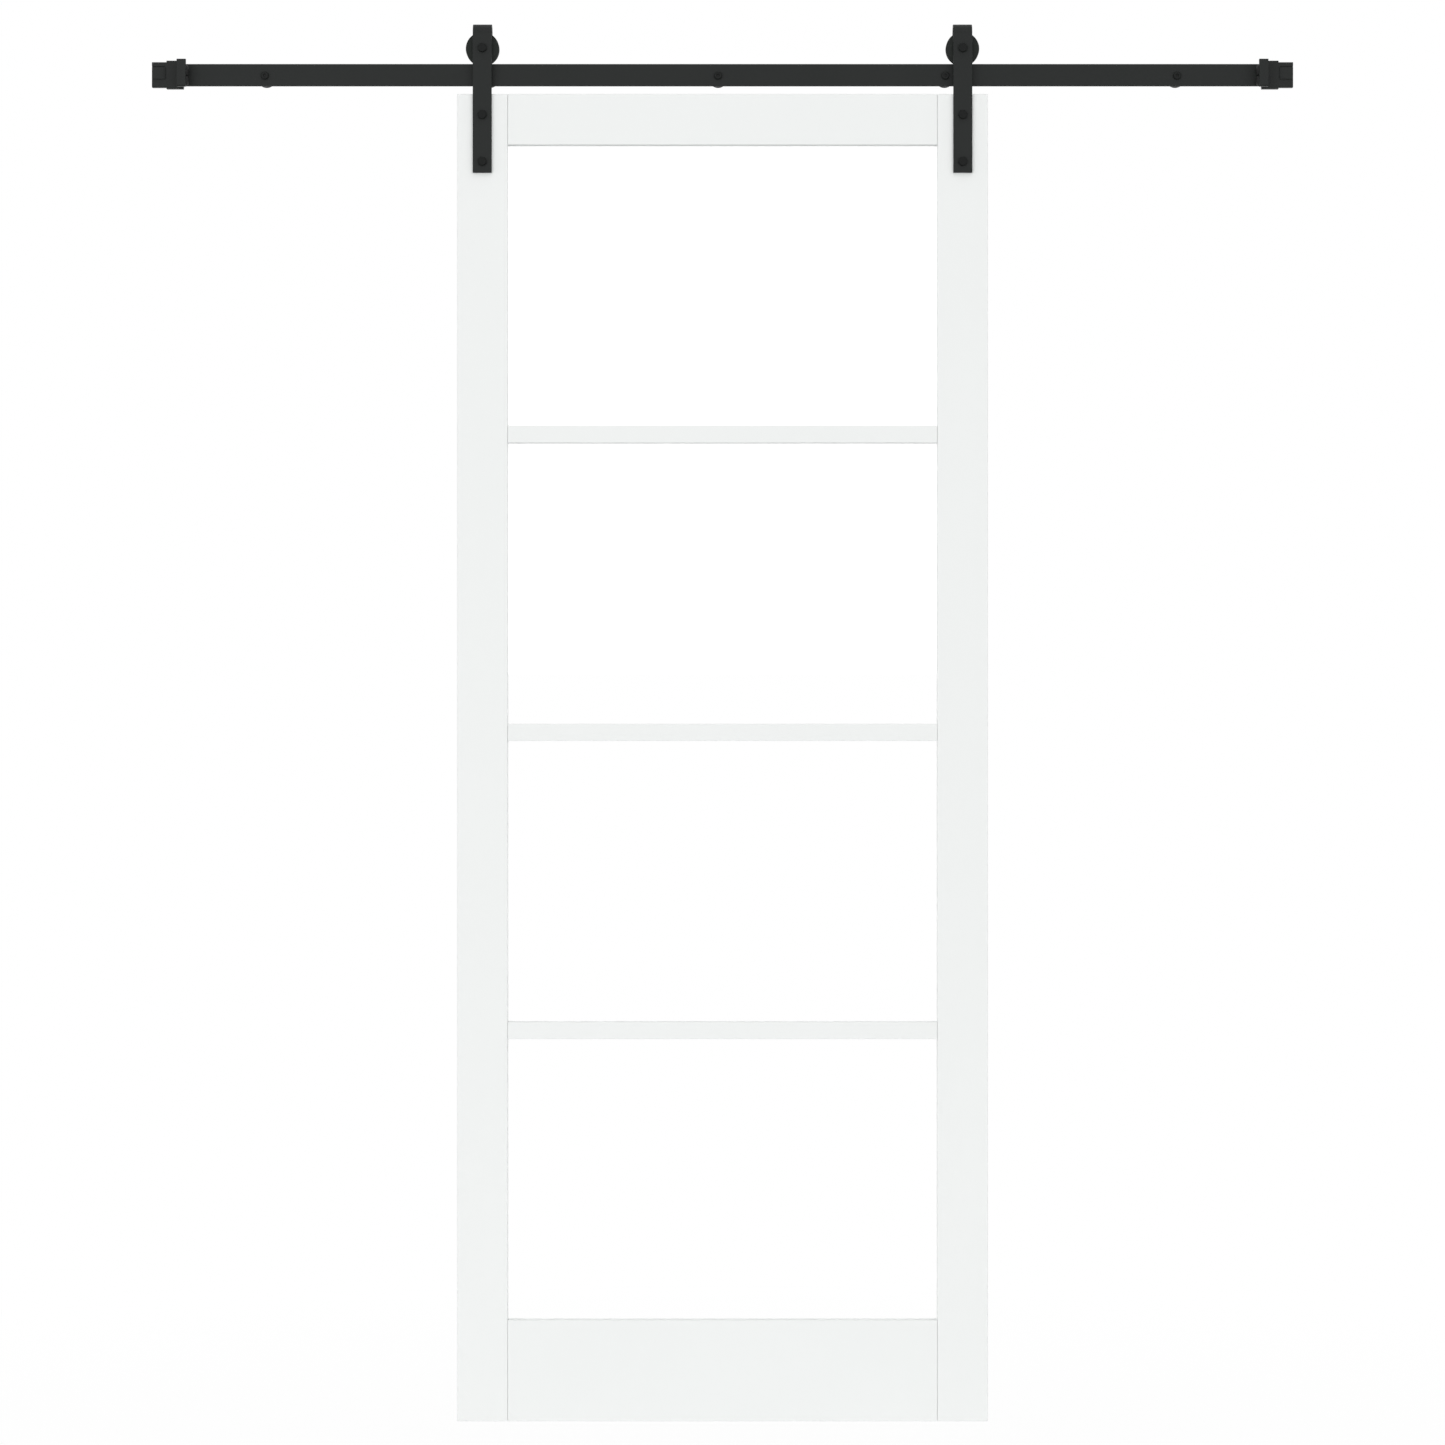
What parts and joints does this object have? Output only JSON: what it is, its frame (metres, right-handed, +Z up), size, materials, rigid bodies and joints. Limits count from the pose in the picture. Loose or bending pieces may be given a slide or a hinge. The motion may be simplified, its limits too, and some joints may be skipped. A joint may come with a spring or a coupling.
{
  "type": "sliding barn door hardware",
  "caption": "Flat wall track with spacers, end stops and bent-strap wheel hangers, carrying a white glazed door leaf that slides along it.",
  "frame": {"origin": "on the wall plane, behind the middle of the track's centreline", "axes": "+X along the track, +Y into the wall, +Z up, so the front faces -Y"},
  "size_m": [1.8068, 0.116, 2.2114],
  "materials": {
    "black_coat": "satin black powder coat",
    "black_fastener": "black coated steel, semi-matte",
    "bare_steel": "zinc plated and ground steel",
    "black_rubber": "matte moulded rubber",
    "white_timber": "satin white paint over timber",
    "clear_glass": "clear float glass"
  },
  "bodies": {
    "track": {"track_rail": "black_coat", "wall_spacer_1": "black_coat", "wall_spacer_2": "black_coat", "wall_spacer_3": "black_coat", "wall_spacer_4": "black_coat", "wall_spacer_5": "black_coat", "wall_screw_1": "black_fastener", "wall_screw_2": "black_fastener", "wall_screw_3": "black_fastener", "wall_screw_4": "black_fastener", "wall_screw_5": "black_fastener", "left_stop_body": "black_coat", "left_stop_buffer": "black_rubber", "left_stop_set_screw_upper": "black_fastener", "left_stop_set_screw_lower": "black_fastener", "right_stop_body": "black_coat", "right_stop_buffer": "black_rubber", "right_stop_set_screw_upper": "black_fastener", "right_stop_set_screw_lower": "black_fastener"},
    "door": {"left_stile": "white_timber", "right_stile": "white_timber", "top_rail": "white_timber", "glazing_bar_1": "white_timber", "glazing_bar_2": "white_timber", "glazing_bar_3": "white_timber", "bottom_rail": "white_timber", "glass_pane_1": "clear_glass", "glass_pane_2": "clear_glass", "glass_pane_3": "clear_glass", "glass_pane_4": "clear_glass", "glazing_bead_1": "white_timber", "glazing_bead_2": "white_timber", "glazing_bead_3": "white_timber", "glazing_bead_4": "white_timber", "left_hanger_strap": "black_coat", "left_strap_bolt_upper": "black_fastener", "left_strap_bolt_lower": "black_fastener", "left_barrel_nut_upper": "black_fastener", "left_barrel_nut_lower": "black_fastener", "left_axle_bolt": "black_fastener", "left_axle_nut": "black_fastener", "left_axle_sleeve_front": "bare_steel", "left_axle_sleeve_back": "bare_steel", "left_bearing_inner_race": "bare_steel", "right_hanger_strap": "black_coat", "right_strap_bolt_upper": "black_fastener", "right_strap_bolt_lower": "black_fastener", "right_barrel_nut_upper": "black_fastener", "right_barrel_nut_lower": "black_fastener", "right_axle_bolt": "black_fastener", "right_axle_nut": "black_fastener", "right_axle_sleeve_front": "bare_steel", "right_axle_sleeve_back": "bare_steel", "right_bearing_inner_race": "bare_steel"},
    "left_wheel_set": {"left_wheel": "black_coat", "left_bearing_outer_race": "bare_steel"},
    "right_wheel_set": {"right_wheel": "black_coat", "right_bearing_outer_race": "bare_steel"}
  },
  "joints": [
    {"name": "door_slide", "type": "slide", "parent": "track", "child": "door", "axis": [1, 0, 0], "range_m": [-0.448, 0.448]},
    {"name": "left_wheel_spin", "type": "hinge", "parent": "door", "child": "left_wheel_set", "pos_m": [-0.38, -0.0345, 0.0411], "axis": [0, 1, 0], "continuous": true},
    {"name": "right_wheel_spin", "type": "hinge", "parent": "door", "child": "right_wheel_set", "pos_m": [0.38, -0.0345, 0.0411], "axis": [0, 1, 0], "continuous": true}
  ],
  "couplings": [
    {"joint": "left_wheel_spin", "follows": "door_slide", "rad_per_m": 42.373},
    {"joint": "right_wheel_spin", "follows": "door_slide", "rad_per_m": 42.373}
  ]
}
